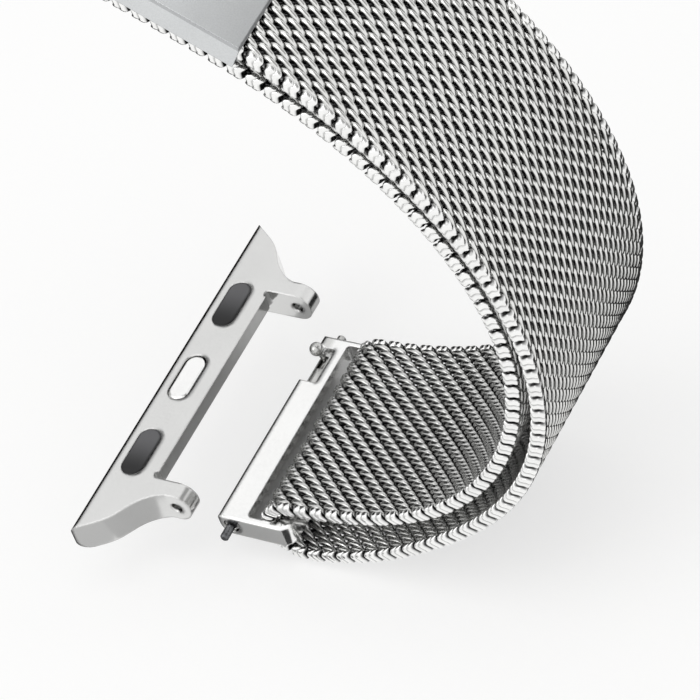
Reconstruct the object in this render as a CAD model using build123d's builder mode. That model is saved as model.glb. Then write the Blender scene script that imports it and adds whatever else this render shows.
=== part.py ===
from build123d import *
import os
from math import cos, radians, sin

# A woven steel watch band, closed in a loop, with its two watch-case adapters. Millimetres.
# Origin: the spring bar's axis in the lower end bar. X runs from the end bar into the band,
# Y across the band, Z up, toward the inside of the loop at the end bar.

# Band. Its width is what the arms of the lower end bar leave between them.
MESH_THICKNESS = 1.5
FOLD_RADIUS = 3.108
FOLD_X = 6.4
FOLD_Z = -0.184
INNER_HEADING = 3.0
INNER_ARC = 9.97
INNER_LOWER_TURNS = (16.3, 22.7, 18.4, 18.7)
INNER_UPPER_TURNS = (20.7, 16.7, 15.4, 13.8, 4.3)
OUTER_HEADING = 11.5
LAYER_SPREAD = 0.58
OUTER_LOWER_TURNS = (19.3, 10.4, 17.7)
OUTER_MIDDLE_TURNS = (19.2, 18.6)
PEEL_TURNS = (16.6, 15.7, 10.6)
CLASP_ARC = 1.6
CLASP_TURN = 9.0
TIE_ARC = 3.0
TIE_TURN = 0.5
UPPER_ARC = 4.2
UPPER_TURN = 9.0
HINGE_GAP = 0.02
RIB_PITCH = 1.69
RIB_DEPTH = 0.35

# End bars
BAR_LENGTH = 21.6
BAR_THICKNESS = 2.3
BAR_FRONT = 1.1
BAR_NOSE_RADIUS = 1.25
BAR_CORNER_RADIUS = 1.2
BAR_EDGE_RADIUS = 0.25
FRONT_RAIL_REAR = 1.62
SLOT_DEPTH = 3.08
CROSSBAR_DEPTH = 1.3
ARM_WIDTH = 0.58
SLOT_SIDE_CLEARANCE = 0.12
SLOT_CORNER_RADIUS = 0.4
NOTCH_WIDTH = 4.0
NOTCH_LUG_WIDTH = 1.4
NOTCH_REAR = 0.71
NOTCH_FLOOR = 0.2
CHANNEL_DEPTH = 2.4
CHANNEL_CLEARANCE = 0.05

# Spring bars
TUBE_RADIUS = 0.75
BORE_CLEARANCE = 0.04
TUBE_BORE_RADIUS = 0.5
ROD_CLEARANCE = 0.05
TUBE_INSET = 0.2
PIN_RADIUS = 0.4
PIN_REACH = 1.5
PIN_ROOT = 2.6
TIP_RADIUS = 0.42
TIP_REACH = 0.95
TIP_ROUND = 0.12
ROD_LENGTH = 5.6
LEVER_TRAVEL = 0.9
LEVER_INSET = 2.3
LEVER_OFFSET = 0.54
LEVER_HEIGHT = 1.93
KNOB_RADIUS = 0.66
KNOB_FLAT_RADIUS = 0.15
STEM_RADIUS = 0.2
STEM_SLOT_CLEARANCE = 0.08
SPRING_LENGTH = 8.0
SPRING_RADIUS = 0.45
SPRING_BORE = 0.25

# Adapters, measured from the axis of the ear holes
ADAPTER_FRONT = 7.4
ADAPTER_REAR = 2.5
ADAPTER_TOP = 1.6
ADAPTER_BOTTOM = 1.5
WING_REACH = 5.7
EAR_CLEARANCE = 0.4
EAR_WIDTH = 1.6
EAR_RADIUS = 1.5
EAR_WING_START = 0.7
WING_SHARES = ((0.12, 0.05), (0.37, 0.29), (0.565, 0.62), (0.75, 0.8), (1.0, 1.0))
FRONT_TOP_RADIUS = 0.35
FRONT_BOTTOM_RADIUS = 1.3
REAR_FACE_HEIGHT = 1.54
UNDERCUT_REACH = 1.9
EAR_HOLE_RADIUS = 0.5
EAR_HOLE_CHAMFER = 0.1
RELIEF_RADIUS = 0.35
PAD_LENGTH = 5.3
PAD_WIDTH = 2.2
PAD_DEPTH = 0.8
PAD_X = 5.25
PAD_INSET = 1.9
PAD_CLEARANCE = 0.03
PAD_DOME = 0.06
BUTTON_CLEARANCE = 0.06
BUTTON_HEIGHT = 1.5
BUTTON_CHAMFER = 0.18
BUTTON_TRAVEL = 0.6
BUTTON_SKIRT = 0.35
RETAINER_THICKNESS = 0.4
LATCH_SPRING_RADIUS = 0.55
LATCH_SPRING_WIRE = 0.2

# Clasp
CLASP_LENGTH = 14.0
CLASP_SIDE_WALL = 0.3
CLASP_THICKNESS = 2.4
CLASP_CORNER_RADIUS = 1.2
CLASP_EDGE_CHAMFER = 0.2
CLASP_GRIP_LENGTH = 5.0
CLASP_MOUTH_CLEARANCE = 0.08
PLATE_THICKNESS = 0.35
PLATE_MARGIN = 0.8
MAGNET_THICKNESS = 1.3
MAGNET_GAP = 0.5
MAGNET_CLEARANCE = 0.03

# Adapter places: the lower one lies off its seat, the upper one is on its spring bar
LOOSE_OFFSET = 3.40
LOOSE_RISE = 3.81

CUT_OVERRUN = 1.0

half_bar = BAR_THICKNESS / 2
bar_half_length = BAR_LENGTH / 2
slot_width = BAR_LENGTH - 2 * ARM_WIDTH
mesh_width = slot_width - 2 * SLOT_SIDE_CLEARANCE
half_mesh = MESH_THICKNESS / 2
outer_arc = INNER_ARC + LAYER_SPREAD
half_width = mesh_width / 2
clasp_width = mesh_width + 2 * CLASP_SIDE_WALL
bore_radius = TUBE_RADIUS + BORE_CLEARANCE
slot_rear = FRONT_RAIL_REAR + SLOT_DEPTH
bar_rear = slot_rear + CROSSBAR_DEPTH
ear_inner = bar_half_length + EAR_CLEARANCE
ear_outer = ear_inner + EAR_WIDTH
adapter_half_length = ear_outer + WING_REACH
pad_y = bar_half_length - PAD_INSET
tube_half_length = bar_half_length - TUBE_INSET
rod_radius = TUBE_BORE_RADIUS - ROD_CLEARANCE
rod_start = tube_half_length - ROD_LENGTH
lever_y = bar_half_length - LEVER_INSET
button_floor = ADAPTER_TOP - BUTTON_HEIGHT
stub_length = CHANNEL_DEPTH - CHANNEL_CLEARANCE


def on_circle(angle):
    """Return the point on the fold's centreline at an angle from +X."""
    return (
        FOLD_X + FOLD_RADIUS * cos(radians(angle)),
        FOLD_Z + FOLD_RADIUS * sin(radians(angle)),
    )


def follow(start, heading, arc, turns):
    """Return the place and heading after the last of some tangent arcs, all turning left."""
    x, z = start
    for turn in turns:
        radius = arc / radians(turn)
        end = heading + turn
        x += radius * (sin(radians(end)) - sin(radians(heading)))
        z -= radius * (cos(radians(end)) - cos(radians(heading)))
        heading = end
    return (x, z), heading


def aside(place, heading, distance):
    """Return the point at a distance to the left of a place on a run."""
    x, z = place
    return x - distance * sin(radians(heading)), z + distance * cos(radians(heading))


def ahead(place, heading, distance):
    """Return the point at a distance along a run's heading."""
    x, z = place
    return x + distance * cos(radians(heading)), z + distance * sin(radians(heading))


def ribbon(start, heading, arc, turns):
    """Return the closed profile of a stretch of mesh, with a rib for each pair of rows of wire."""
    ribs = max(1, round(arc / RIB_PITCH))
    with BuildSketch(Plane.XZ) as profile:
        with BuildLine():
            ends = []
            for side in (1, -1):
                valley = side * (half_mesh - RIB_DEPTH)
                crest = side * half_mesh
                place, angle = start, heading
                first = here = aside(place, angle, valley)
                for turn in turns:
                    for _ in range(ribs):
                        half_rib = (arc / ribs / 2, (turn / ribs / 2,))
                        place, angle = follow(place, angle, *half_rib)
                        top = aside(place, angle, crest)
                        place, angle = follow(place, angle, *half_rib)
                        last = aside(place, angle, valley)
                        ThreePointArc(here, top, last)
                        here = last
                ends.append((first, here))
            Line(ends[0][0], ends[1][0])
            Line(ends[0][1], ends[1][1])
        make_face()
    return profile.sketch


def run_plane(place, heading):
    """Return the plane at a place on a run, its X back down the run and its Z to the left."""
    x, z = place
    return Plane(
        origin=(x, 0, z),
        x_dir=(-cos(radians(heading)), 0, -sin(radians(heading))),
        z_dir=(-sin(radians(heading)), 0, cos(radians(heading))),
    )


# The band: the fold through the lower end bar, then the inner and the outer layer
inner_start = on_circle(90 + INNER_HEADING)
outer_start = on_circle(OUTER_HEADING - 90)
fold_turn = 180 + OUTER_HEADING - INNER_HEADING
middle_start, middle_heading = follow(inner_start, INNER_HEADING, INNER_ARC, INNER_LOWER_TURNS)
tie_start, tie_heading = follow(middle_start, middle_heading, INNER_ARC, INNER_UPPER_TURNS)
upper_start, upper_heading = follow(tie_start, tie_heading, TIE_ARC, (TIE_TURN,))
upper_first = ahead(upper_start, upper_heading, HINGE_GAP)
upper_end, upper_end_heading = follow(
    upper_first, upper_heading, UPPER_ARC - HINGE_GAP, (UPPER_TURN,)
)
outer_middle, outer_middle_heading = follow(
    outer_start, OUTER_HEADING, outer_arc, OUTER_LOWER_TURNS
)
peel_place, peel_heading = follow(
    outer_middle, outer_middle_heading, outer_arc, OUTER_MIDDLE_TURNS
)

with BuildPart() as mesh_fold:
    extrude(ribbon(inner_start, 180 + INNER_HEADING, FOLD_RADIUS * radians(fold_turn), (fold_turn,)),
            amount=half_width, both=True)

with BuildPart() as mesh_inner_lower:
    extrude(ribbon(inner_start, INNER_HEADING, INNER_ARC, INNER_LOWER_TURNS),
            amount=half_width, both=True)

with BuildPart() as mesh_inner_upper:
    extrude(ribbon(middle_start, middle_heading, INNER_ARC, INNER_UPPER_TURNS),
            amount=half_width, both=True)

with BuildPart() as mesh_inner_tie:
    extrude(ribbon(tie_start, tie_heading, TIE_ARC, (TIE_TURN,)),
            amount=half_width, both=True)

with BuildPart() as mesh_outer_lower:
    extrude(ribbon(outer_start, OUTER_HEADING, outer_arc, OUTER_LOWER_TURNS),
            amount=half_width, both=True)

with BuildPart() as mesh_outer_middle:
    extrude(ribbon(outer_middle, outer_middle_heading, outer_arc, OUTER_MIDDLE_TURNS),
            amount=half_width, both=True)

# The part of the outer layer that peels off with the clasp, one node for each hinge
peel_parts = []
for turn in PEEL_TURNS:
    peel_start = ahead(peel_place, peel_heading, HINGE_GAP)
    with BuildPart() as mesh_peel:
        extrude(ribbon(peel_start, peel_heading, outer_arc - HINGE_GAP, (turn,)),
                amount=half_width, both=True)
    peel_parts.append(mesh_peel.part)
    peel_place, peel_heading = follow(
        peel_start, peel_heading, outer_arc - HINGE_GAP, (turn,)
    )
clasp_place, clasp_heading = follow(peel_place, peel_heading, CLASP_ARC, (CLASP_TURN,))

with BuildPart() as mesh_outer_end:
    extrude(ribbon(peel_place, peel_heading, CLASP_ARC, (CLASP_TURN,)),
            amount=half_width, both=True)
    with BuildSketch(run_plane(clasp_place, clasp_heading)):
        with Locations((-CLASP_GRIP_LENGTH / 2, 0)):
            Rectangle(CLASP_GRIP_LENGTH, mesh_width)
    extrude(amount=half_mesh, both=True)

with BuildPart() as mesh_upper:
    extrude(ribbon(upper_first, upper_heading, UPPER_ARC - HINGE_GAP, (UPPER_TURN,)),
            amount=half_width, both=True)
    with BuildSketch(run_plane(upper_end, upper_end_heading)):
        with Locations((-stub_length / 2, 0)):
            Rectangle(stub_length, mesh_width)
    extrude(amount=half_mesh, both=True)

# End bar with the slot that the fold runs through, and the same bar with a channel
with BuildPart() as bar_form:
    with BuildSketch(Plane.XZ):
        with BuildLine():
            nose_start = (-BAR_FRONT, BAR_NOSE_RADIUS - half_bar)
            nose_end = (BAR_NOSE_RADIUS - BAR_FRONT, -half_bar)
            Line((-BAR_FRONT, half_bar), nose_start)
            RadiusArc(nose_start, nose_end, -BAR_NOSE_RADIUS)
            Polyline(nose_end, (bar_rear, -half_bar), (bar_rear, half_bar),
                     (-BAR_FRONT, half_bar))
        make_face()
    extrude(amount=bar_half_length, both=True)
    fillet(bar_form.edges().filter_by(Axis.Z).group_by(Axis.X)[-1], BAR_CORNER_RADIUS)
    fillet(bar_form.faces().sort_by(Axis.Z)[-1].edges(), BAR_EDGE_RADIUS)
    with BuildSketch(Plane.XZ):
        Circle(bore_radius)
    extrude(amount=bar_half_length + CUT_OVERRUN, both=True, mode=Mode.SUBTRACT)
    notch_middle = bar_half_length - NOTCH_LUG_WIDTH - NOTCH_WIDTH / 2
    notch_depth = BAR_FRONT + CUT_OVERRUN + NOTCH_REAR
    notch_height = half_bar + NOTCH_FLOOR + CUT_OVERRUN
    with Locations(
        (NOTCH_REAR - notch_depth / 2, notch_middle, notch_height / 2 - NOTCH_FLOOR)
    ):
        Box(notch_depth, NOTCH_WIDTH, notch_height, mode=Mode.SUBTRACT)

with BuildPart() as end_bar_a:
    add(bar_form.part)
    with BuildSketch(Plane.XY.offset(-half_bar - CUT_OVERRUN)):
        with Locations((FRONT_RAIL_REAR + SLOT_DEPTH / 2, 0)):
            RectangleRounded(SLOT_DEPTH, slot_width,
                             SLOT_CORNER_RADIUS)
    extrude(amount=BAR_THICKNESS + 2 * CUT_OVERRUN, mode=Mode.SUBTRACT)

place_b = run_plane(
    ahead(upper_end, upper_end_heading, bar_rear), upper_end_heading
).location

with BuildPart() as bar_b_form:
    add(bar_form.part)
    channel_length = CHANNEL_DEPTH + CUT_OVERRUN
    with Locations((bar_rear - CHANNEL_DEPTH + channel_length / 2, 0, 0)):
        Box(channel_length, mesh_width + 2 * CHANNEL_CLEARANCE,
            MESH_THICKNESS + 2 * CHANNEL_CLEARANCE, mode=Mode.SUBTRACT)

with BuildPart() as end_bar_b:
    add(bar_b_form.part.moved(place_b))

# Spring bar: tube, fixed pin, sliding tip with its lever, spring
with BuildPart() as tube_form:
    with BuildSketch(Plane.XZ):
        Circle(TUBE_RADIUS)
        Circle(TUBE_BORE_RADIUS, mode=Mode.SUBTRACT)
    extrude(amount=tube_half_length, both=True)
    stem_slot = 2 * (STEM_RADIUS + STEM_SLOT_CLEARANCE)
    stem_lean = LEVER_OFFSET * TUBE_RADIUS / LEVER_HEIGHT
    slot_top = TUBE_RADIUS + CUT_OVERRUN
    with Locations((-stem_lean / 2, lever_y - LEVER_TRAVEL / 2, slot_top / 2)):
        Box(stem_slot + stem_lean, LEVER_TRAVEL + stem_slot, slot_top, mode=Mode.SUBTRACT)

with BuildPart() as pin_form:
    with BuildSketch(Plane.XZ.offset(bar_half_length - PIN_ROOT)):
        Circle(TUBE_BORE_RADIUS)
    extrude(amount=PIN_ROOT - TUBE_INSET)
    with BuildSketch(Plane.XZ.offset(bar_half_length - TUBE_INSET)):
        Circle(PIN_RADIUS)
    extrude(amount=TUBE_INSET + PIN_REACH)
    chamfer(pin_form.faces().sort_by(Axis.Y)[0].edges(), TIP_ROUND)

with BuildPart() as tip_form:
    with BuildSketch(Plane.ZX.offset(rod_start)):
        Circle(rod_radius)
    extrude(amount=ROD_LENGTH)
    with BuildSketch(Plane.ZX.offset(rod_start)):
        Circle(TIP_RADIUS)
    extrude(amount=bar_half_length + TIP_REACH - rod_start)
    chamfer(tip_form.faces().sort_by(Axis.Y)[-1].edges(), TIP_ROUND)

lever_foot = Vector(0, lever_y, 0)
lever_way = Vector(-LEVER_OFFSET, 0, LEVER_HEIGHT)
knob_distance = lever_way.length
stem_start = rod_radius + STEM_SLOT_CLEARANCE
stem_end = knob_distance - (KNOB_RADIUS**2 - STEM_RADIUS**2) ** 0.5
knob_end = knob_distance + (KNOB_RADIUS**2 - KNOB_FLAT_RADIUS**2) ** 0.5
with BuildPart() as lever_form:
    with BuildSketch(Plane(origin=lever_foot, x_dir=lever_way, z_dir=(0, -1, 0))):
        with BuildLine():
            Polyline((knob_end, KNOB_FLAT_RADIUS), (knob_end, 0), (stem_start, 0),
                     (stem_start, STEM_RADIUS), (stem_end, STEM_RADIUS))
            ThreePointArc((stem_end, STEM_RADIUS), (knob_distance, KNOB_RADIUS),
                          (knob_end, KNOB_FLAT_RADIUS))
        make_face()
    revolve(axis=Axis(lever_foot, lever_way))

spring_far = rod_start - LEVER_TRAVEL - ROD_CLEARANCE
with BuildPart() as bar_spring_form:
    with BuildSketch(Plane.ZX.offset(spring_far - SPRING_LENGTH)):
        Circle(SPRING_RADIUS)
        Circle(SPRING_BORE, mode=Mode.SUBTRACT)
    extrude(amount=SPRING_LENGTH)

# Adapter: a bar with two wings and two ears, two pads and a sprung latch button
with BuildPart() as adapter_form:
    wing_depth = ADAPTER_FRONT - EAR_WING_START
    with BuildSketch(Plane.XY.offset(-ADAPTER_BOTTOM)):
        with BuildLine():
            wing_root = (-EAR_WING_START, ear_outer)
            wing_points = [wing_root] + [
                (-EAR_WING_START - along * wing_depth, ear_outer + out * WING_REACH)
                for along, out in WING_SHARES
            ]
            Spline(*wing_points)
            Line(wing_points[-1], (-ADAPTER_FRONT, 0))
            Polyline((-ADAPTER_REAR, 0), (-ADAPTER_REAR, ear_inner), (EAR_RADIUS, ear_inner),
                     (EAR_RADIUS, ear_outer), wing_root)
            mirror(about=Plane.XZ)
        make_face()
    extrude(amount=ADAPTER_TOP + ADAPTER_BOTTOM)
    with BuildSketch(Plane.XZ):
        with BuildLine():
            ear_top = (0, ADAPTER_TOP)
            ear_tip = (EAR_RADIUS, ADAPTER_TOP - EAR_RADIUS)
            ear_low = (EAR_RADIUS, EAR_RADIUS - ADAPTER_BOTTOM)
            ear_base = (0, -ADAPTER_BOTTOM)
            front_low = (FRONT_BOTTOM_RADIUS - ADAPTER_FRONT, -ADAPTER_BOTTOM)
            front_base = (-ADAPTER_FRONT, FRONT_BOTTOM_RADIUS - ADAPTER_BOTTOM)
            front_high = (-ADAPTER_FRONT, ADAPTER_TOP - FRONT_TOP_RADIUS)
            front_top = (FRONT_TOP_RADIUS - ADAPTER_FRONT, ADAPTER_TOP)
            RadiusArc(ear_top, ear_tip, EAR_RADIUS)
            Line(ear_tip, ear_low)
            RadiusArc(ear_low, ear_base, EAR_RADIUS)
            Line(ear_base, front_low)
            RadiusArc(front_low, front_base, FRONT_BOTTOM_RADIUS)
            Line(front_base, front_high)
            RadiusArc(front_high, front_top, FRONT_TOP_RADIUS)
            Line(front_top, ear_top)
        make_face()
    extrude(amount=adapter_half_length + CUT_OVERRUN, both=True, mode=Mode.INTERSECT)
    rear_foot = ADAPTER_TOP - REAR_FACE_HEIGHT
    with BuildSketch(Plane.XZ):
        Polygon((-ADAPTER_REAR, rear_foot),
                (-ADAPTER_REAR - UNDERCUT_REACH, -ADAPTER_BOTTOM),
                (-ADAPTER_REAR - UNDERCUT_REACH, -ADAPTER_BOTTOM - CUT_OVERRUN),
                (CUT_OVERRUN - ADAPTER_REAR, -ADAPTER_BOTTOM - CUT_OVERRUN),
                (CUT_OVERRUN - ADAPTER_REAR, rear_foot), align=None)
    extrude(amount=ear_inner, both=True, mode=Mode.SUBTRACT)
    with BuildSketch(Plane.XY.offset(-ADAPTER_BOTTOM - CUT_OVERRUN)):
        with Locations((-ADAPTER_REAR, ear_inner - RELIEF_RADIUS),
                       (-ADAPTER_REAR, RELIEF_RADIUS - ear_inner)):
            Circle(RELIEF_RADIUS)
    extrude(amount=ADAPTER_TOP + ADAPTER_BOTTOM + 2 * CUT_OVERRUN, mode=Mode.SUBTRACT)
    with BuildSketch(Plane.XZ):
        Circle(EAR_HOLE_RADIUS)
    extrude(amount=ear_outer + CUT_OVERRUN, both=True, mode=Mode.SUBTRACT)
    hole_rims = adapter_form.edges().filter_by(GeomType.CIRCLE).filter_by(
        lambda rim: abs(rim.radius - EAR_HOLE_RADIUS) < EAR_HOLE_CHAMFER / 2
        and rim.is_closed
    )
    chamfer(hole_rims, EAR_HOLE_CHAMFER)
    with BuildSketch(Plane.XY.offset(ADAPTER_TOP - PAD_DEPTH)):
        with Locations((-PAD_X, pad_y), (-PAD_X, -pad_y)):
            SlotOverall(PAD_LENGTH, PAD_WIDTH, rotation=90)
    extrude(amount=PAD_DEPTH + CUT_OVERRUN, mode=Mode.SUBTRACT)
    with BuildSketch(Plane.XY.offset(-ADAPTER_BOTTOM - CUT_OVERRUN)):
        with Locations((-PAD_X, 0)):
            SlotOverall(PAD_LENGTH, PAD_WIDTH, rotation=90)
    extrude(amount=ADAPTER_TOP + ADAPTER_BOTTOM + 2 * CUT_OVERRUN, mode=Mode.SUBTRACT)

with BuildPart() as pad_form:
    with BuildSketch(Plane.XY.offset(ADAPTER_TOP - PAD_DEPTH)):
        SlotOverall(PAD_LENGTH - 2 * PAD_CLEARANCE, PAD_WIDTH - 2 * PAD_CLEARANCE, rotation=90)
    extrude(amount=PAD_DEPTH + PAD_DOME)
    chamfer(pad_form.faces().sort_by(Axis.Z)[-1].edges(), PAD_DOME)

with BuildPart() as button_form:
    with BuildSketch(Plane.XY.offset(button_floor)):
        SlotOverall(PAD_LENGTH - 2 * BUTTON_CLEARANCE, PAD_WIDTH - 2 * BUTTON_CLEARANCE,
                    rotation=90)
    extrude(amount=BUTTON_HEIGHT)
    chamfer(button_form.faces().sort_by(Axis.Z)[-1].edges(), BUTTON_CHAMFER)
    with BuildSketch(Plane.XY.offset(button_floor)):
        Circle(PAD_WIDTH / 2 - BUTTON_CLEARANCE - BUTTON_SKIRT)
    extrude(amount=BUTTON_HEIGHT - BUTTON_SKIRT, mode=Mode.SUBTRACT)

with BuildPart() as retainer_form:
    with BuildSketch(Plane.XY.offset(-ADAPTER_BOTTOM)):
        SlotOverall(PAD_LENGTH - 2 * PAD_CLEARANCE, PAD_WIDTH - 2 * PAD_CLEARANCE, rotation=90)
    extrude(amount=RETAINER_THICKNESS)

with BuildPart() as latch_spring_form:
    spring_foot = RETAINER_THICKNESS - ADAPTER_BOTTOM
    spring_top = ADAPTER_TOP - BUTTON_SKIRT - BUTTON_TRAVEL - BUTTON_CLEARANCE
    with BuildSketch(Plane.XY.offset(spring_foot)):
        Circle(LATCH_SPRING_RADIUS)
        Circle(LATCH_SPRING_RADIUS - LATCH_SPRING_WIRE, mode=Mode.SUBTRACT)
    extrude(amount=spring_top - spring_foot)

# Clasp: a cover gripping the end of the outer layer, with magnets over a backing plate.
# The band's end reaches back from the mouth, and the cover runs on along the heading.
clasp_plane = run_plane(ahead(clasp_place, clasp_heading, CLASP_LENGTH), clasp_heading)
half_clasp = CLASP_THICKNESS / 2
hollow_length = CLASP_LENGTH - CLASP_GRIP_LENGTH - 2 * PLATE_MARGIN
hollow_centre = PLATE_MARGIN + hollow_length / 2
magnet_length = hollow_length / 2 - MAGNET_GAP

with BuildPart() as clasp_form:
    Box(CLASP_LENGTH, clasp_width, CLASP_THICKNESS, align=(Align.MIN, Align.CENTER, Align.CENTER))
    fillet(clasp_form.edges().filter_by(Axis.Z).group_by(Axis.X)[0], CLASP_CORNER_RADIUS)
    chamfer(clasp_form.faces().sort_by(Axis.Z)[0].edges(), CLASP_EDGE_CHAMFER)
    mouth_length = CLASP_GRIP_LENGTH + CLASP_MOUTH_CLEARANCE + CUT_OVERRUN
    with Locations((CLASP_LENGTH + CUT_OVERRUN - mouth_length / 2, 0, 0)):
        Box(mouth_length, mesh_width + 2 * CLASP_MOUTH_CLEARANCE,
            MESH_THICKNESS + 2 * CLASP_MOUTH_CLEARANCE, mode=Mode.SUBTRACT)
    hollow_depth = MAGNET_THICKNESS + PLATE_THICKNESS + CUT_OVERRUN
    with Locations((hollow_centre, 0, half_clasp + CUT_OVERRUN - hollow_depth / 2)):
        Box(hollow_length, clasp_width - 2 * PLATE_MARGIN, hollow_depth, mode=Mode.SUBTRACT)

with BuildPart() as plate_form:
    with Locations((hollow_centre, 0, half_clasp - PLATE_THICKNESS / 2)):
        Box(hollow_length - 2 * MAGNET_CLEARANCE,
            clasp_width - 2 * PLATE_MARGIN - 2 * MAGNET_CLEARANCE, PLATE_THICKNESS)

magnet_top = half_clasp - PLATE_THICKNESS
with BuildPart() as magnet_form:
    with Locations((0, 0, magnet_top - MAGNET_THICKNESS / 2)):
        Box(magnet_length, clasp_width - 2 * PLATE_MARGIN - 2 * MAGNET_CLEARANCE,
            MAGNET_THICKNESS)

with BuildPart() as clasp_cover:
    add(clasp_form.part.moved(clasp_plane.location))

with BuildPart() as clasp_plate:
    add(plate_form.part.moved(clasp_plane.location))

finished = {
    "mesh_fold": mesh_fold.part,
    "mesh_inner_lower": mesh_inner_lower.part,
    "mesh_inner_upper": mesh_inner_upper.part,
    "mesh_inner_tie": mesh_inner_tie.part,
    "mesh_outer_lower": mesh_outer_lower.part,
    "mesh_outer_middle": mesh_outer_middle.part,
    "mesh_outer_end": mesh_outer_end.part,
    "mesh_upper": mesh_upper.part,
    "end_bar_a": end_bar_a.part,
    "end_bar_b": end_bar_b.part,
    "clasp_cover": clasp_cover.part,
    "clasp_plate": clasp_plate.part,
}
for number, piece in enumerate(peel_parts, start=1):
    finished[f"mesh_peel_{number}"] = piece

magnet_offset = (magnet_length + MAGNET_GAP) / 2
for number, side in enumerate((-1, 1), start=1):
    with BuildPart() as clasp_magnet:
        shift = Location((hollow_centre + side * magnet_offset, 0, 0))
        add(magnet_form.part.moved(clasp_plane.location * shift))
    finished[f"clasp_magnet_{number}"] = clasp_magnet.part

# Spring bars and adapters at both ends of the band
loose_place = Location((-LOOSE_OFFSET, 0, LOOSE_RISE))
ends = {
    "a": (Location(), loose_place),
    "b": (place_b, place_b),
}
for end, (bar_place, adapter_place) in ends.items():
    for name, form in (
        ("spring_bar_tube", tube_form),
        ("spring_bar_pin", pin_form),
        ("spring_bar_tip", tip_form),
        ("spring_bar_lever", lever_form),
        ("spring_bar_spring", bar_spring_form),
    ):
        with BuildPart() as spring_bar_piece:
            add(form.part.moved(bar_place))
        finished[f"{name}_{end}"] = spring_bar_piece.part
    for name, form, shift in (
        ("adapter_body", adapter_form, Location()),
        ("adapter_pad_near", pad_form, Location((-PAD_X, -pad_y, 0))),
        ("adapter_pad_far", pad_form, Location((-PAD_X, pad_y, 0))),
        ("adapter_button", button_form, Location((-PAD_X, 0, 0))),
        ("adapter_retainer", retainer_form, Location((-PAD_X, 0, 0))),
        ("adapter_spring", latch_spring_form, Location((-PAD_X, 0, 0))),
    ):
        with BuildPart() as adapter_piece:
            add(form.part.moved(adapter_place * shift))
        finished[f"{name}_{end}"] = adapter_piece.part

os.makedirs("parts", exist_ok=True)
for name, piece in finished.items():
    piece.label = name
    export_step(piece, f"parts/{name}.step")
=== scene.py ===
"""A woven steel watch band in a closed loop, with its clasp, end bars and watch-case adapters."""

from __future__ import annotations

import logging
import math
from dataclasses import dataclass, field, replace
from enum import Enum
from typing import Any, Sequence

import bpy
import numpy as np
from mathutils import Matrix, Vector


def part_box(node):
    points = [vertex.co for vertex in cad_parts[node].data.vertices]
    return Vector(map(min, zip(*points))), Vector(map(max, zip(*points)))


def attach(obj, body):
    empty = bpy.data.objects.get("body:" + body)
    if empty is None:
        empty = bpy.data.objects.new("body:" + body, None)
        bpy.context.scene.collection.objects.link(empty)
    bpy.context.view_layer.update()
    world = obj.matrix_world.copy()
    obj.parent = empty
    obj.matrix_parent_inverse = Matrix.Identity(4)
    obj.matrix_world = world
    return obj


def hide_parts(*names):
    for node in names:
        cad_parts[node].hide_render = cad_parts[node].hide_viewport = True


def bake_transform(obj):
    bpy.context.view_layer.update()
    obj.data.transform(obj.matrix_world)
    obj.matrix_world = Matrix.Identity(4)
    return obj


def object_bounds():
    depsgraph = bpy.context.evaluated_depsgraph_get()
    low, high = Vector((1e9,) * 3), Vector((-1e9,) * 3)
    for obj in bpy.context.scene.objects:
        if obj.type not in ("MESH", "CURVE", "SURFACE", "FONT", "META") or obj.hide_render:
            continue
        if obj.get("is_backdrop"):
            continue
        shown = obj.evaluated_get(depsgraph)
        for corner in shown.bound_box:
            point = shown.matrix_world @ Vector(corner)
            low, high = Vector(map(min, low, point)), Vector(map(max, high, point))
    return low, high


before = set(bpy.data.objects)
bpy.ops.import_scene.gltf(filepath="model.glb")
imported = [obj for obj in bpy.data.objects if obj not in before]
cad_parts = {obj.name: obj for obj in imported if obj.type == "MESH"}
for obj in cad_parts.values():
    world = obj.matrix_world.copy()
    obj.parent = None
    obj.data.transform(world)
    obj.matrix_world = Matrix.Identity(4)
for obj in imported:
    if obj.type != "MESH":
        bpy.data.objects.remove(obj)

log = logging.getLogger("watch_band")
MM = 0.001
# Which way each adapter's top faces
LOWER_ADAPTER_UP = (0.0, 0.0, 1.0)
UPPER_ADAPTER_UP = (-0.3502, 0.0, -0.9367)
# Painted reflection: the dark line that a broken steel edge mirrors
PAINTED_EDGE_REFLECTION = "#101011"
# Painted shadow: the dark line round a pad
PAINTED_RIM_SHADOW = "#0a0a0a"


class Edge(Enum):
    """The two long edges of the strip, by the sign of their Y."""

    NEAR = -1
    FAR = 1


def linear(code: str) -> tuple[float, float, float, float]:
    """Turn an sRGB hex colour into a linear one.

    Args:
        code: six hex digits after a hash sign.

    Returns:
        Red, green, blue and an alpha of one.
    """
    parts = [int(code[i : i + 2], 16) / 255 for i in (1, 3, 5)]
    low = [c / 12.92 if c <= 0.04045 else ((c + 0.055) / 1.055) ** 2.4 for c in parts]
    return low[0], low[1], low[2], 1.0


def per_size(size_mm: float) -> float:
    """Return the texture scale whose pattern repeats about once in a size in millimetres."""
    return 1000.0 / size_mm


def add_node(
    tree: bpy.types.NodeTree,
    kind: str,
    feeds: dict[Any, Any] | None = None,
    **settings: Any,
) -> bpy.types.Node:
    """Add one node with its settings and what feeds its inputs.

    Args:
        tree: the node tree.
        kind: the node's type.
        feeds: for each input, a value or the output that is linked to it.
        settings: properties of the node.

    Returns:
        The node.
    """
    node = tree.nodes.new(kind)
    for key, value in settings.items():
        setattr(node, key, value)
    for key, value in (feeds or {}).items():
        if isinstance(value, bpy.types.NodeSocket):
            tree.links.new(value, node.inputs[key])
        else:
            node.inputs[key].default_value = value
    return node


def empty_material(name: str) -> tuple[bpy.types.Material, bpy.types.NodeTree]:
    """Return a new material with no nodes, and its tree."""
    material = bpy.data.materials.new(name)
    material.use_nodes = True
    material.node_tree.nodes.clear()
    return material, material.node_tree


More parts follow.
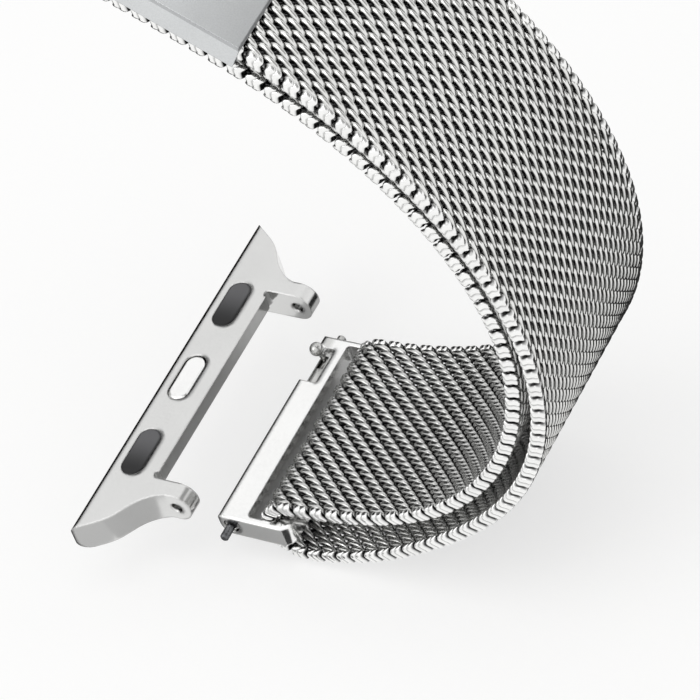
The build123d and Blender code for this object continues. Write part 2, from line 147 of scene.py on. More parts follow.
def noise(tree: bpy.types.NodeTree, size_mm: float, detail: float) -> bpy.types.NodeSocket:
    """Return a soft random pattern.

    Args:
        tree: the node tree.
        size_mm: size of its patches on the real object.
        detail: how many finer layers it has.

    Returns:
        A value about 0.5.
    """
    place = add_node(tree, "ShaderNodeTexCoord")
    feeds = {"Vector": place.outputs["Object"], "Scale": per_size(size_mm), "Detail": detail}
    return add_node(tree, "ShaderNodeTexNoise", feeds).outputs[0]


def ramp(
    tree: bpy.types.NodeTree,
    value: bpy.types.NodeSocket,
    given: tuple[float, float] = (0.0, 1.0),
    wanted: tuple[float, float] = (0.0, 1.0),
    **settings: Any,
) -> bpy.types.NodeSocket:
    """Return a value moved from one range to another and held inside it.

    Args:
        tree: the node tree.
        value: the value.
        given: the two ends of the range that it has.
        wanted: what they become.
        settings: properties of the node.

    Returns:
        The moved value.
    """
    feeds = {
        "Value": value,
        "From Min": given[0],
        "From Max": given[1],
        "To Min": wanted[0],
        "To Max": wanted[1],
    }
    return add_node(tree, "ShaderNodeMapRange", feeds, **settings).outputs[0]


def mix(tree: bpy.types.NodeTree, share: bpy.types.NodeSocket, first: Any, last: Any) -> Any:
    """Return a colour between two, each an output or a linear colour."""
    feeds = {0: share, 6: first, 7: last}
    return add_node(tree, "ShaderNodeMix", feeds, data_type="RGBA").outputs[2]


def multiply(tree: bpy.types.NodeTree, first: Any, last: Any, **settings: Any) -> Any:
    """Return the product of two outputs or numbers."""
    feeds = {0: first, 1: last}
    return add_node(tree, "ShaderNodeMath", feeds, operation="MULTIPLY", **settings).outputs[0]


def likeness(tree: bpy.types.NodeTree, first: Any, last: Any) -> Any:
    """Return how alike two unit directions are, from -1 to 1."""
    feeds = {0: first, 1: last}
    node = add_node(tree, "ShaderNodeVectorMath", feeds, operation="DOT_PRODUCT")
    return node.outputs["Value"]


def close_material(tree: bpy.types.NodeTree, surface: dict[str, Any]) -> None:
    """End a tree with the surface shader, fed as told, and the output."""
    shader = add_node(tree, "ShaderNodeBsdfPrincipled", surface)
    add_node(tree, "ShaderNodeOutputMaterial", {"Surface": shader.outputs[0]})


def edge_share(
    tree: bpy.types.NodeTree,
    width_mm: float,
    way: tuple[float, float, float] | None = None,
    turn: tuple[float, float] = (0.1, 0.85),
) -> bpy.types.NodeSocket:
    """Return how much a point belongs to a thin painted dark line along an edge.

    On steel it is a painted reflection: the dark line that a small broken edge mirrors in the
    photograph. On a pad it is a painted shadow round the rim. It is laid into the colour and not
    mirrored, so it stays when the view changes.

    Args:
        tree: the node tree.
        width_mm: width of the line on each side of the edge.
        way: the direction that a marked edge turns to, or none for every edge.
        turn: how far a marked edge has turned that way, from its start to its end.

    Returns:
        A share from 0 to 1.
    """
    turned = add_node(tree, "ShaderNodeBevel", {"Radius": 2 * width_mm * MM}, samples=6)
    if way is None:
        straight = add_node(tree, "ShaderNodeNewGeometry")
        alike = likeness(tree, turned.outputs[0], straight.outputs["Normal"])
        return ramp(tree, alike, (0.995, 0.95))
    leaning = likeness(tree, turned.outputs[0], way)
    edge = ramp(tree, leaning, (turn[0], turn[0] + 0.08))
    wall = ramp(tree, leaning, (turn[1], turn[1] + 0.1), (1.0, 0.0))
    return multiply(tree, edge, wall)


@dataclass(frozen=True)
class SteelFinish:
    """Stainless steel with a tone that varies softly, a fine grain and rounded edges.

    Attributes:
        name: the material's name.
        bright: colour of the cleanest metal.
        dull: colour where the surface is duller.
        smooth: roughness of the cleanest metal.
        rough: roughness where the surface is duller.
        cloud_mm: size of the soft changes of tone.
        grain_mm: spacing of the grain.
        relief_mm: height of the grain.
        edge_mm: radius that polishing leaves on each sharp edge.
        line_mm: width of the painted dark reflection line along edges, or 0 for none.
        line_way: the direction that a marked edge turns to, or none for every edge.
        line_turn: how far a marked edge has turned that way, from its start to its end.
    """

    name: str
    bright: str
    dull: str
    smooth: float
    rough: float
    cloud_mm: float
    grain_mm: float
    relief_mm: float = 0.002
    edge_mm: float = 0.1
    line_mm: float = 0.0
    line_way: tuple[float, float, float] | None = None
    line_turn: tuple[float, float] = (0.1, 0.85)

    def build(self) -> bpy.types.Material:
        """Build the material.

        Returns:
            The material.
        """
        material, tree = empty_material(self.name)
        grain = noise(tree, self.grain_mm, 4.0)
        uneven = multiply(tree, noise(tree, self.cloud_mm, 3.0), grain)
        share = ramp(tree, uneven, (0.12, 0.42))
        colour = mix(tree, share, linear(self.bright), linear(self.dull))
        # painted reflection: a dark line laid into the colour along the marked edges
        if self.line_mm:
            line = edge_share(tree, self.line_mm, self.line_way, self.line_turn)
            colour = mix(tree, line, colour, linear(PAINTED_EDGE_REFLECTION))
        rounded = add_node(tree, "ShaderNodeBevel", {"Radius": self.edge_mm * MM}, samples=4)
        relief = add_node(
            tree,
            "ShaderNodeBump",
            {
                "Height": grain,
                "Normal": rounded.outputs[0],
                "Strength": 0.35,
                "Distance": self.relief_mm * MM,
            },
        )
        roughness = ramp(tree, share, wanted=(self.smooth, self.rough))
        close_material(
            tree,
            {
                "Base Color": colour,
                "Metallic": 1.0,
                "Roughness": roughness,
                "Normal": relief.outputs[0],
            },
        )
        return material


@dataclass(frozen=True)
class WovenWireFinish:
    """Drawn stainless wire, woven and then polished, so that its crowns are brighter, with painted
    shade darkening its recesses.

    Attributes:
        name: the material's name.
        crown: colour of the polished outside of the weave.
        recess: colour deep in the weave: painted shade, where also no polish reaches.
        crown_roughness: roughness of the outside.
        recess_roughness: roughness deep in the weave.
        draw_mm: spacing of the lines that the drawing die leaves. Real ones are about
            0.01 mm and too fine to show, so they are drawn coarser.
        cloud_mm: size of the changes of tone along the band.
        relief_mm: depth of those lines.
    """

    name: str
    crown: str
    recess: str
    crown_roughness: float
    recess_roughness: float
    draw_mm: float = 0.06
    cloud_mm: float = 2.5
    relief_mm: float = 0.004

    def build(self) -> bpy.types.Material:
        """Build the material. The weave's meshes hold how far out each point lies, which sets its
        polish and its painted shade.

        Returns:
            The material.
        """
        material, tree = empty_material(self.name)
        crown = add_node(tree, "ShaderNodeAttribute", attribute_name="crown")
        uneven = ramp(tree, noise(tree, self.cloud_mm, 2.0), wanted=(0.86, 1.1))
        share = multiply(tree, crown.outputs["Fac"], uneven, use_clamp=True)
        relief = add_node(
            tree,
            "ShaderNodeBump",
            {
                "Height": noise(tree, self.draw_mm, 2.0),
                "Strength": 0.12,
                "Distance": self.relief_mm * MM,
            },
        )
        close_material(
            tree,
            {
                "Base Color": mix(tree, share, linear(self.recess), linear(self.crown)),
                "Metallic": 1.0,
                "Roughness": ramp(
                    tree, share, wanted=(self.recess_roughness, self.crown_roughness)
                ),
                "Normal": relief.outputs[0],
            },
        )
        return material


@dataclass(frozen=True)
class MouldedRubberFinish:
    """Compression-moulded fluoroelastomer: dark, even, with the mould's fine stipple.

    Attributes:
        name: the material's name.
        body: the rubber's colour.
        painted_sheen: a paler painted reflection that lies on it towards one end.
        roughness: its roughness.
        stipple_mm: grain of the mould.
        rim_mm: width of the painted shadow line along its rim.
        roughness_spread: how far the stipple changes the roughness each way.
        relief_mm: depth of the stipple.
        ior: how strongly it bends light.
    """

    name: str
    body: str
    painted_sheen: str
    roughness: float
    stipple_mm: float
    rim_mm: float = 0.1
    roughness_spread: float = 0.06
    relief_mm: float = 0.008
    ior: float = 1.42

    def build(self) -> bpy.types.Material:
        """Build the material.

        Returns:
            The material.
        """
        material, tree = empty_material(self.name)
        stipple = noise(tree, self.stipple_mm, 3.0)
        place = add_node(tree, "ShaderNodeTexCoord")
        along = add_node(tree, "ShaderNodeSeparateXYZ", {0: place.outputs["Generated"]})
        # painted reflection: the colour turns paler towards one end of the pad
        sheen_share = ramp(
            tree, along.outputs["Y"], (0.1, 0.85), interpolation_type="SMOOTHSTEP"
        )
        colour = mix(tree, sheen_share, linear(self.body), linear(self.painted_sheen))
        # painted shadow: a dark line laid into the colour round the pad's rim
        colour = mix(tree, edge_share(tree, self.rim_mm), colour, linear(PAINTED_RIM_SHADOW))
        spread = self.roughness_spread
        relief = add_node(
            tree,
            "ShaderNodeBump",
            {"Height": stipple, "Strength": 0.25, "Distance": self.relief_mm * MM},
        )
        close_material(
            tree,
            {
                "Base Color": colour,
                "Roughness": ramp(
                    tree, stipple, wanted=(self.roughness - spread, self.roughness + spread)
                ),
                "IOR": self.ior,
                "Normal": relief.outputs[0],
            },
        )
        return material


# Stainless wire, drawn, woven and tumble polished: bright polished crowns, recesses in painted
# grey shade
WOVEN_WIRE = WovenWireFinish("woven_stainless_wire", "#ececea", "#5e5e5f", 0.2, 0.35)
# The same wire where its ends are pressed and ground into the smooth edge of the band; the gaps
# between pairs of ends are painted dark as shade
EDGE_WIRE = WovenWireFinish("ground_wire_ends", "#fbfbfa", "#1c1c1d", 0.2, 0.35)
# Stainless castings, lapped and buffed: mirror faces with hardly any grain, and a painted dark
# reflection line along edges that turn to -X
BUFFED_STEEL = SteelFinish(
    "buffed_stainless", "#fbfbfa", "#f7f7f6", 0.12, 0.17, 6.0, 0.25,
    edge_mm=0.2, line_mm=0.36, line_way=(-1.0, 0.0, 0.0),
)
# The latch buttons, buffed the same way
BUFFED_BUTTON = replace(BUFFED_STEEL, name="buffed_button", line_mm=0.0)
# The adapters are ground flat and only lightly polished, so they spread what they mirror; a dark
# reflection line is painted along edges that turn to -X
LAPPED_STEEL = SteelFinish(
    "lapped_stainless", "#dfdfde", "#dadad9", 0.13, 0.17, 5.0, 0.2,
    edge_mm=0.25, line_mm=0.36, line_way=(-1.0, 0.0, 0.0),
)
# The clasp cover is fine blasted: an even, pale grey sheen, with a thin dark reflection line
# painted along edges that turn to -Y
BLASTED_STEEL = SteelFinish(
    "blasted_stainless", "#dddfe0", "#d0d2d3", 0.3, 0.36, 8.0, 0.12,
    relief_mm=0.004, line_mm=0.05, line_way=(0.0, -1.0, 0.0), line_turn=(0.46, 0.64),
)
# Turned and centreless-ground tubes and tips
TURNED_STEEL = SteelFinish("turned_steel", "#d0d0ce", "#a9a9a8", 0.16, 0.26, 1.5, 0.12)
# The near pin has the dark skin that hardening leaves
HARDENED_STEEL = SteelFinish("hardened_steel", "#808183", "#58595b", 0.24, 0.34, 0.8, 0.12)
# Cold-drawn spring wire, blued a little
SPRING_STEEL = SteelFinish("spring_steel", "#a2a3a6", "#7d7f84", 0.22, 0.32, 1.0, 0.1)
# Sintered magnets under nickel plate
NICKEL_PLATE = SteelFinish("nickel_plate", "#cbc8c0", "#b3afa6", 0.2, 0.3, 3.0, 0.2)
# The adapters' grip pads, with a painted paler reflection towards one end and a painted shadow
# round the rim
PAD_RUBBER = MouldedRubberFinish("moulded_rubber", "#2a2a2b", "#6c6c6e", 0.42, 0.12)

Finish = SteelFinish | WovenWireFinish | MouldedRubberFinish
# Points, faces and how far out each point lies
Built = tuple[np.ndarray, np.ndarray, np.ndarray]


class Wardrobe:
    """Builds each finish once and puts it on objects."""

    def __init__(self) -> None:
        """Start with nothing built."""
        self._made: dict[str, bpy.types.Material] = {}

    def dress(self, piece: bpy.types.Object, finish: Finish) -> None:
        """Give an object one finish on all its faces.

        Args:
            piece: the object.
            finish: one of the finishes.
        """
        if finish.name not in self._made:
            self._made[finish.name] = finish.build()
        material = self._made[finish.name]
        if not piece.material_slots:
            piece.data.materials.append(material)
        for slot in piece.material_slots:
            slot.material = material


def dress_nodes(wardrobe: Wardrobe, nodes: dict[str, Finish]) -> None:
    """Dress CAD nodes by name and report each.

    Args:
        wardrobe: what holds the materials.
        nodes: the finish of each node.
    """
    for name, finish in nodes.items():
        wardrobe.dress(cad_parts[name], finish)
        log.info("dressed %s in %s", name, finish.name)


def surface_piece(
    name: str, points: np.ndarray, quads: np.ndarray, crown: np.ndarray | None = None
) -> bpy.types.Object:
    """Make a smooth object of quads.

    Args:
        name: the piece's name.
        points: its points in metres.
        quads: four point numbers for each face.
        crown: for woven pieces, how far out each point lies, from 0 to 1.

    Returns:
        The object, in the scene.
    """
    mesh = bpy.data.meshes.new(name)
    count = len(quads)
    mesh.vertices.add(len(points))
    mesh.vertices.foreach_set("co", np.ascontiguousarray(points, np.float32).ravel())
    mesh.loops.add(4 * count)
    mesh.loops.foreach_set("vertex_index", quads.astype(np.int32).ravel())
    mesh.polygons.add(count)
    mesh.polygons.foreach_set("loop_start", np.arange(0, 4 * count, 4, dtype=np.int32))
    mesh.update(calc_edges=True)
    mesh.validate()
    mesh.polygons.foreach_set("use_smooth", np.ones(len(mesh.polygons), bool))
    if crown is not None:
        held = mesh.attributes.new("crown", "FLOAT", "POINT")
        held.data.foreach_set("value", crown.astype(np.float32))
    piece = bpy.data.objects.new(name, mesh)
    bpy.context.scene.collection.objects.link(piece)
    return piece


def tube_quads(runs: int, rings: int, sides: int) -> np.ndarray:
    """Return the faces of some tubes whose rings follow each other.

    Args:
        runs: how many tubes.
        rings: rings in each tube.
        sides: points in each ring.

    Returns:
        Four point numbers for each face.
    """
    first = np.arange(rings - 1)[:, None] * sides + np.arange(sides)[None, :]
    after = np.arange(rings - 1)[:, None] * sides + (np.arange(sides)[None, :] + 1) % sides
    one = np.stack([first, after, after + sides, first + sides], -1).reshape(-1, 4)
    shifts = np.arange(runs)[:, None, None] * rings * sides
    return (one[None] + shifts).reshape(-1, 4)


def unit(vectors: np.ndarray) -> np.ndarray:
    """Return vectors scaled to a length of one."""
    return vectors / np.maximum(np.linalg.norm(vectors, axis=-1, keepdims=True), 1e-12)


def tube_points(
    line: np.ndarray, outward: np.ndarray, radii: np.ndarray, sides: int
) -> np.ndarray:
    """Return the rings of points round some centre lines.

    Args:
        line: centre points, one row for each tube.
        outward: a direction at each point that the rings start from.
        radii: the radius at each point of a tube.
        sides: points in each ring.

    Returns:
        Points with shape tubes, rings, sides, 3.
    """
    ahead = unit(np.gradient(line, axis=1))
    first = outward - ahead * np.sum(outward * ahead, -1, keepdims=True)
    first = unit(first)
    second = np.cross(ahead, first)
    angles = np.arange(sides) * 2 * math.pi / sides
    ring = (
        first[:, :, None, :] * np.cos(angles)[None, None, :, None]
        + second[:, :, None, :] * np.sin(angles)[None, None, :, None]
    )
    return line[:, :, None, :] + ring * radii[None, :, None, None]


@dataclass(frozen=True)
class Bend:
    """One tangent arc of the strip: its length in mm and its turn to the left in degrees."""

    length: float
    turn: float = 0.0


class StripLine:
    """The strip's middle line in the XZ plane, from its upper end to the clasp."""

    def __init__(self, start: tuple[float, float], heading: float, bends: Sequence[Bend]):
        """Lay the bends one after another.

        Args:
            start: X and Z in mm.
            heading: degrees from +X towards +Z.
            bends: the arcs in order.
        """
        places, headings, along = [np.array(start, float)], [math.radians(heading)], [0.0]
        curves = []
        for bend in bends:
            turn = math.radians(bend.turn)
            curve = turn / bend.length
            before = headings[-1]
            places.append(places[-1] + self._step(before, curve, np.array(bend.length)))
            headings.append(before + turn)
            along.append(along[-1] + bend.length)
            curves.append(curve)
        self.places, self.headings = np.array(places), np.array(headings)
        self.along, self.curves = np.array(along), np.array(curves)

    @staticmethod
    def _step(heading: Any, curve: Any, distance: np.ndarray) -> np.ndarray:
        """Return how far X and Z change over a distance on an arc."""
        half = curve * distance / 2
        chord = distance * np.sinc(half / math.pi)
        return np.stack([chord * np.cos(heading + half), chord * np.sin(heading + half)], -1)

    def at(self, u: np.ndarray) -> tuple[np.ndarray, np.ndarray]:
        """Return the places on the line and the directions to its outer face.

        Args:
            u: distances from the upper end in mm.

        Returns:
            Points and unit directions in 3-D, both with Y of 0.
        """
        u = np.asarray(u, float)
        index = np.clip(np.searchsorted(self.along, u, side="right") - 1, 0, len(self.curves) - 1)
        distance = u - self.along[index]
        curve = self.curves[index]
        place = self.places[index] + self._step(self.headings[index], curve, distance)
        heading = self.headings[index] + curve * distance
        flat = np.zeros_like(u)
        points = np.stack([place[..., 0], flat, place[..., 1]], -1)
        sides = np.stack([np.sin(heading), flat, -np.cos(heading)], -1)
        return points, sides

    def point(self, u: float) -> Vector:
        """Return one place on the line in metres."""
        return Vector(self.at(np.array(u))[0] * MM)


@dataclass(frozen=True)
class Stretch:
    """A length of the strip that is one piece.

    Attributes:
        name: the piece's name.
        start: where it starts, in mm from the upper end.
        end: where it ends.
        bodies: the body it rides on, or the two it lies between, which it is not put on.
        nodes: the CAD nodes it stands for.
        bend: where the bend between two bodies starts and ends; nothing bends the piece.
    """

    name: str
    start: float
    end: float
    bodies: tuple[str, ...]
    nodes: tuple[str, ...]
    bend: tuple[float, float] = (0.0, 0.0)


@dataclass
class WovenStrip:
    """The band's mesh: flattened coils of wire, each linked with the next, and ground edges.

    Each row is one coil that runs across the band. Its neighbours are half a turn out of
    step, so the coils interlock. Its route repeats the solid ribbons' arcs. Sizes are in mm
    and turns in degrees.

    Attributes:
        fold_radius: radius of the fold's middle line through the lower end bar.
        fold_centre: X and Z of the fold's centre.
        inner_heading: how far the inner layer climbs where the fold ends.
        inner_arc: length of each arc of the inner layer.
        inner_turns: turn of each of those arcs, from the fold upwards.
        tie: the arc between the inner layer and the upper end.
        upper: the arc at the upper end.
        stub: straight length that runs into the upper end bar.
        outer_heading: how far the outer layer drops where the fold starts.
        outer_arc: length of each arc of the outer layer.
        outer_turns: turn of each of those arcs, from the fold upwards.
        clasp: the arc that leads into the clasp.
        grip: straight length held inside the clasp.
        half_width: half the width across the band.
        half_thickness: half the thickness.
        row_pitch: distance from one row to the next.
        turn_pitch: distance from one turn of a coil to the next, across the band.
        coil_half_width: how far a coil reaches along the band from its middle.
        wire_radius: radius of the wire.
        squareness: under one, a coil is squarer than an ellipse.
        ground_off: how far below the band's faces grinding starts.
        ground_share: share of the wire beyond that depth that grinding takes.
        inner_painted_brightness: brightness of the inner layer's crowns beside the outer layer's,
            painted darker to dim their highlights.
        points_per_turn: points along the wire in each turn.
        sides: points round the wire.
        edge_width: width of the ground edge.
        end_gap: free length at each end of the strip.
        end_half_length: half the length of one wire end along the band.
        end_inset: how far a wire end stays inside each face.
        pair_shift: how far each wire end leans to the other of its pair.
        end_rings: rings of points in a wire end.
        end_sides: points in each ring.
        soft: how far a hinge's bend reaches each way along the peeling end.
        upper_soft: where the upper hinge's bend starts and ends, from the hinge.
        upper_cut: where the upper piece ends, from its hinge.
        peel_lead: how far ahead of its hinge the first peeling piece starts.
        stretches: the pieces, set when the line is laid.
    """

    fold_radius: float = 3.108
    fold_centre: tuple[float, float] = (6.4, -0.184)
    inner_heading: float = 3.0
    inner_arc: float = 9.97
    inner_turns: tuple[float, ...] = (16.3, 22.7, 18.4, 18.7, 20.7, 16.7, 15.4, 13.8, 4.3)
    tie: Bend = Bend(3.0, 0.5)
    upper: Bend = Bend(4.2, 9.0)
    stub: float = 2.35
    outer_heading: float = 11.5
    outer_arc: float = 10.55
    outer_turns: tuple[float, ...] = (19.3, 10.4, 17.7, 19.2, 18.6, 16.6, 15.7, 10.6)
    clasp: Bend = Bend(1.6, 9.0)
    grip: float = 5.0
    half_width: float = 10.1
    half_thickness: float = 0.75
    row_pitch: float = 0.8445
    turn_pitch: float = 1.36
    coil_half_width: float = 0.9
    wire_radius: float = 0.235
    squareness: float = 0.95
    ground_off: float = 0.09
    inner_painted_brightness: float = 0.74
    points_per_turn: int = 14
    sides: int = 8
    edge_width: float = 0.85
    end_gap: float = 0.12
    ground_share: float = 0.85
    end_half_length: float = 0.43
    end_inset: float = 0.06
    pair_shift: float = 0.13
    end_rings: int = 15
    end_sides: int = 14
    soft: float = 2.4
    upper_soft: tuple[float, float] = (2.0, -1.6)
    upper_cut: float = 4.4
    peel_lead: float = 3.2
    stretches: list[Stretch] = field(default_factory=list)

    def lay_line(self) -> StripLine:
        """Lay the middle line and set the stretches along it.

        Returns:
            The line.
        """
        climb = [Bend(self.inner_arc, turn) for turn in self.inner_turns]
        climb += [self.tie, self.upper, Bend(self.stub)]
        angle = math.radians(90 + self.inner_heading)
        start = (
            self.fold_centre[0] + self.fold_radius * math.cos(angle),
            self.fold_centre[1] + self.fold_radius * math.sin(angle),
        )
        up = StripLine(start, self.inner_heading, climb)
        turned = 180 + self.outer_heading - self.inner_heading
        down = [Bend(bend.length, -bend.turn) for bend in reversed(climb)]
        fold = Bend(self.fold_radius * math.radians(turned), turned)
        back = [Bend(self.outer_arc, turn) for turn in self.outer_turns]
        back += [self.clasp, Bend(self.grip)]
        line = StripLine(
            tuple(up.places[-1]), math.degrees(up.headings[-1]) + 180, down + [fold] + back
        )
        self._divide(self.stub + self.upper.length, line)
        return line

    def _divide(self, upper_hinge: float, line: StripLine) -> None:
        """Set the stretches between the hinges.

        Args:
            upper_hinge: distance to the hinge near the upper end.
            line: the middle line.
        """
        mouth = line.along[-2]
        peel = [mouth - self.clasp.length - self.outer_arc * n for n in (3, 2, 1)]
        half = self.outer_arc / 2
        cuts = [upper_hinge + self.upper_cut, peel[0] - self.peel_lead]
        cuts += [place + half for place in peel]
        bends = [(place - self.soft, place + self.soft) for place in peel]
        band_nodes = ("mesh_fold", "mesh_inner_lower", "mesh_inner_upper")
        band_nodes += ("mesh_outer_lower", "mesh_outer_middle")
        self.stretches = [
            Stretch("upper", 0.0, cuts[0], ("band", "upper_end"), ("mesh_upper", "mesh_inner_tie"),
                    (upper_hinge + self.upper_soft[0], upper_hinge + self.upper_soft[1])),
            Stretch("loop", cuts[0], cuts[1], ("band",), band_nodes),
            Stretch("peel_1", cuts[1], cuts[2], ("band", "peel_1"), ("mesh_peel_1",), bends[0]),
            Stretch("peel_2", cuts[2], cuts[3], ("peel_1", "peel_2"), ("mesh_peel_2",), bends[1]),
            Stretch("peel_3", cuts[3], cuts[4], ("peel_2", "clasp"), ("mesh_peel_3",), bends[2]),
            Stretch("clasp_end", cuts[4], line.along[-1], ("clasp",), ("mesh_outer_end",)),
        ]

    def rows(self, line: StripLine) -> np.ndarray:
        """Return where each coil's middle lies along the strip."""
        first = self.end_gap + self.coil_half_width + self.wire_radius
        last = line.along[-1] - first
        return first + self.row_pitch * np.arange(int((last - first) / self.row_pitch) + 1)

    def coils(self, line: StripLine, numbers: np.ndarray, at: np.ndarray) -> Built:
        """Build the coils of some rows.

        Args:
            line: the middle line.
            numbers: each row's number, which sets its step across the band.
            at: each row's place along the strip.

        Returns:
            Points in metres, faces, and how far out each point lies.
        """
        reach = self.half_width - 0.45 * self.edge_width
        turns = 2 * reach / self.turn_pitch
        count = int(turns * self.points_per_turn) + 1
        y = np.linspace(reach, -reach, count)[None, :]
        shift = (numbers % 2)[:, None] * self.turn_pitch / 2
        phase = 2 * math.pi * (shift - y) / self.turn_pitch
        deep = self.half_thickness - self.wire_radius
        across, out = np.cos(phase), np.sin(phase)
        flat_out = np.sign(out) * np.abs(out) ** self.squareness
        u = at[:, None] + self.coil_half_width * across
        centre, side = line.at(u)
        spot = centre + side * (deep * flat_out)[..., None]
        spot[..., 1] += np.broadcast_to(y, u.shape)
        middle = line.at(at[:, None] * np.ones_like(u))[0]
        middle[..., 1] += np.broadcast_to(y, u.shape)
        radii = np.full(count, self.wire_radius)
        radii[[0, -1]] = 0.01 * self.wire_radius
        outward = side * np.sign(flat_out)[..., None] + (spot - middle)
        points = tube_points(spot, outward, radii, self.sides)
        # grinding leaves each crown nearly flat
        foot = centre.copy()
        foot[..., 1] += np.broadcast_to(y, u.shape)
        rise = np.sum((points - foot[:, :, None, :]) * side[:, :, None, :], -1)
        limit = self.half_thickness - self.ground_off
        excess = np.sign(rise) * np.maximum(np.abs(rise) - limit, 0)
        points = points - side[:, :, None, :] * (self.ground_share * excess)[..., None]
        # polish stays on the wire's outer side; painted shade darkens its inner side and where the
        # wire dives between rows
        around = (points - spot[:, :, None, :]) / self.wire_radius
        from_axis = np.sum(around * unit(spot - middle)[:, :, None, :], -1)
        from_sheet = np.sum(around * side[:, :, None, :], -1) * np.sign(flat_out)[..., None]
        height = np.clip(np.abs(flat_out) / 0.6, 0, 1)[..., None]
        facing = np.clip((np.maximum(from_axis, from_sheet) + 0.15) / 0.65, 0, 1)
        crown = facing * (0.25 + 0.75 * height**0.7)
        # the inner layer's crowns are painted darker, which dims their highlights
        outer = self.outer_arc * len(self.outer_turns) + self.clasp.length + self.grip
        turned = line.along[-1] - outer
        crown = crown * np.where(at < turned, self.inner_painted_brightness, 1.0)[:, None, None]
        quads = tube_quads(len(at), count, self.sides)
        return points.reshape(-1, 3) * MM, quads, crown.ravel()

    def ends(self, line: StripLine, numbers: np.ndarray, at: np.ndarray, edge: Edge) -> Built:
        """Build the pressed and ground wire ends along one edge.

        Ends go in pairs: each pair touches along a seam, with a dark gap to the next pair. Painted
        shade darkens the gap, and less the seam.

        Args:
            line: the middle line.
            numbers: each row's number, which sets which end of a pair it is.
            at: each row's place along the strip.
            edge: which edge.

        Returns:
            Points in metres, faces, and how far out each point lies.
        """
        rings, sides = self.end_rings, self.end_sides
        half_long, half_wide = self.end_half_length, self.edge_width / 2
        half_high = self.half_thickness - self.end_inset
        lat = np.linspace(-0.497, 0.497, rings)[:, None] * math.pi
        lon = (np.arange(sides) * 2 * math.pi / sides)[None, :]

        def bulge(value: np.ndarray, power: float) -> np.ndarray:
            """Return a value raised to a power with its sign kept."""
            return np.sign(value) * np.abs(value) ** power

        high = half_high * bulge(np.sin(lat), 0.8) * np.ones_like(lon)
        wide = half_wide * bulge(np.cos(lat), 0.7) * bulge(np.sin(lon), 0.7)
        long = half_long * bulge(np.cos(lat), 0.5) * bulge(np.cos(lon), 0.75)
        lean = 0.1 * np.sin(2.4 * wide / half_wide) + 0.15 * np.sin(3.5 * high / half_high)
        pair = np.where(numbers % 2 == 0, self.pair_shift, -self.pair_shift)[:, None, None]
        u = at[:, None, None] + pair + long[None] + lean[None]
        centre, side = line.at(u)
        points = centre + side * (high[None] * np.ones_like(u))[..., None]
        middle = edge.value * (self.half_width - half_wide)
        points[..., 1] += middle + wide[None]
        # painted shade darkens the gap between two pairs and, less, the seam in a pair
        way = np.where(numbers % 2 == 0, 1.0, -1.0)[:, None, None]
        towards_seam = way * (long / half_long)[None]
        gap = np.clip((-towards_seam - 0.6) / 0.3, 0, 1)
        seam = np.clip((towards_seam - 0.45) / 0.3, 0, 1)
        crown = np.clip(1 - 0.97 * gap**1.5 - 0.6 * seam**1.5, 0, 1).ravel()
        quads = tube_quads(len(at), rings, sides)
        return points.reshape(-1, 3) * MM, quads, crown

    def build(self, wardrobe: Wardrobe) -> None:
        """Build every stretch, put each one-body stretch on its body and dress it.

        Args:
            wardrobe: what holds the materials.
        """
        line = self.lay_line()
        places = self.rows(line)
        for stretch in self.stretches:
            chosen = np.nonzero((places >= stretch.start) & (places < stretch.end))[0]
            points, quads, crown = self.coils(line, chosen, places[chosen])
            weave = surface_piece(f"weave_{stretch.name}", points, quads, crown)
            wardrobe.dress(weave, WOVEN_WIRE)
            parts = [self.ends(line, chosen, places[chosen], edge) for edge in Edge]
            more = len(parts[0][0])
            edges = surface_piece(
                f"edge_{stretch.name}",
                np.concatenate([part[0] for part in parts]),
                np.concatenate([parts[0][1], parts[1][1] + more]),
                np.concatenate([part[2] for part in parts]),
            )
            wardrobe.dress(edges, EDGE_WIRE)
            for piece in (weave, edges):
                if len(stretch.bodies) == 1:
                    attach(piece, stretch.bodies[0])
                else:
                    start, end = (line.point(u) for u in stretch.bend)
                    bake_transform(piece)
                log.info("built %s: %d faces", piece.name, len(piece.data.polygons))
            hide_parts(*stretch.nodes)


@dataclass
class CoilSpring:
    """A compression spring that stands for a plain sleeve of the CAD model. Sizes in mm."""

    node: str
    body: str
    axis: tuple[float, float, float]
    length: float
    outer_radius: float
    wire_radius: float
    turns: float
    points_per_turn: int = 14
    sides: int = 8

    def build(self, wardrobe: Wardrobe) -> bpy.types.Object:
        """Wind the spring where its sleeve is.

        Args:
            wardrobe: what holds the materials.

        Returns:
            The spring.
        """
        low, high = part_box(self.node)
        middle = np.array((low + high) / 2) / MM
        axis = np.array(self.axis, float)
        axis /= np.linalg.norm(axis)
        first = unit(np.cross(axis, np.array([0.31, 0.27, 0.91])))
        second = np.cross(axis, first)
        count = int(self.turns * self.points_per_turn) + 1
        share = np.linspace(0, 1, count)
        # closed ends: the coil rises slowly over its first and last turn
        rise = share - np.sin(2 * math.pi * share) * 0.06
        angle = share * self.turns * 2 * math.pi
        radius = self.outer_radius - self.wire_radius
        out = np.cos(angle)[:, None] * first + np.sin(angle)[:, None] * second
        travel = (rise - 0.5) * (self.length - 2 * self.wire_radius)
        spine = middle + out * radius + travel[:, None] * axis
        radii = np.full(count, self.wire_radius)
        radii[[0, -1]] = 0.01 * self.wire_radius
        points = tube_points(spine[None], out[None], radii, self.sides)
        piece = surface_piece(
            f"coil_{self.node}", points.reshape(-1, 3) * MM, tube_quads(1, count, self.sides)
        )
        wardrobe.dress(piece, SPRING_STEEL)
        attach(piece, self.body)
        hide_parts(self.node)
        log.info("wound %s", piece.name)
        return piece


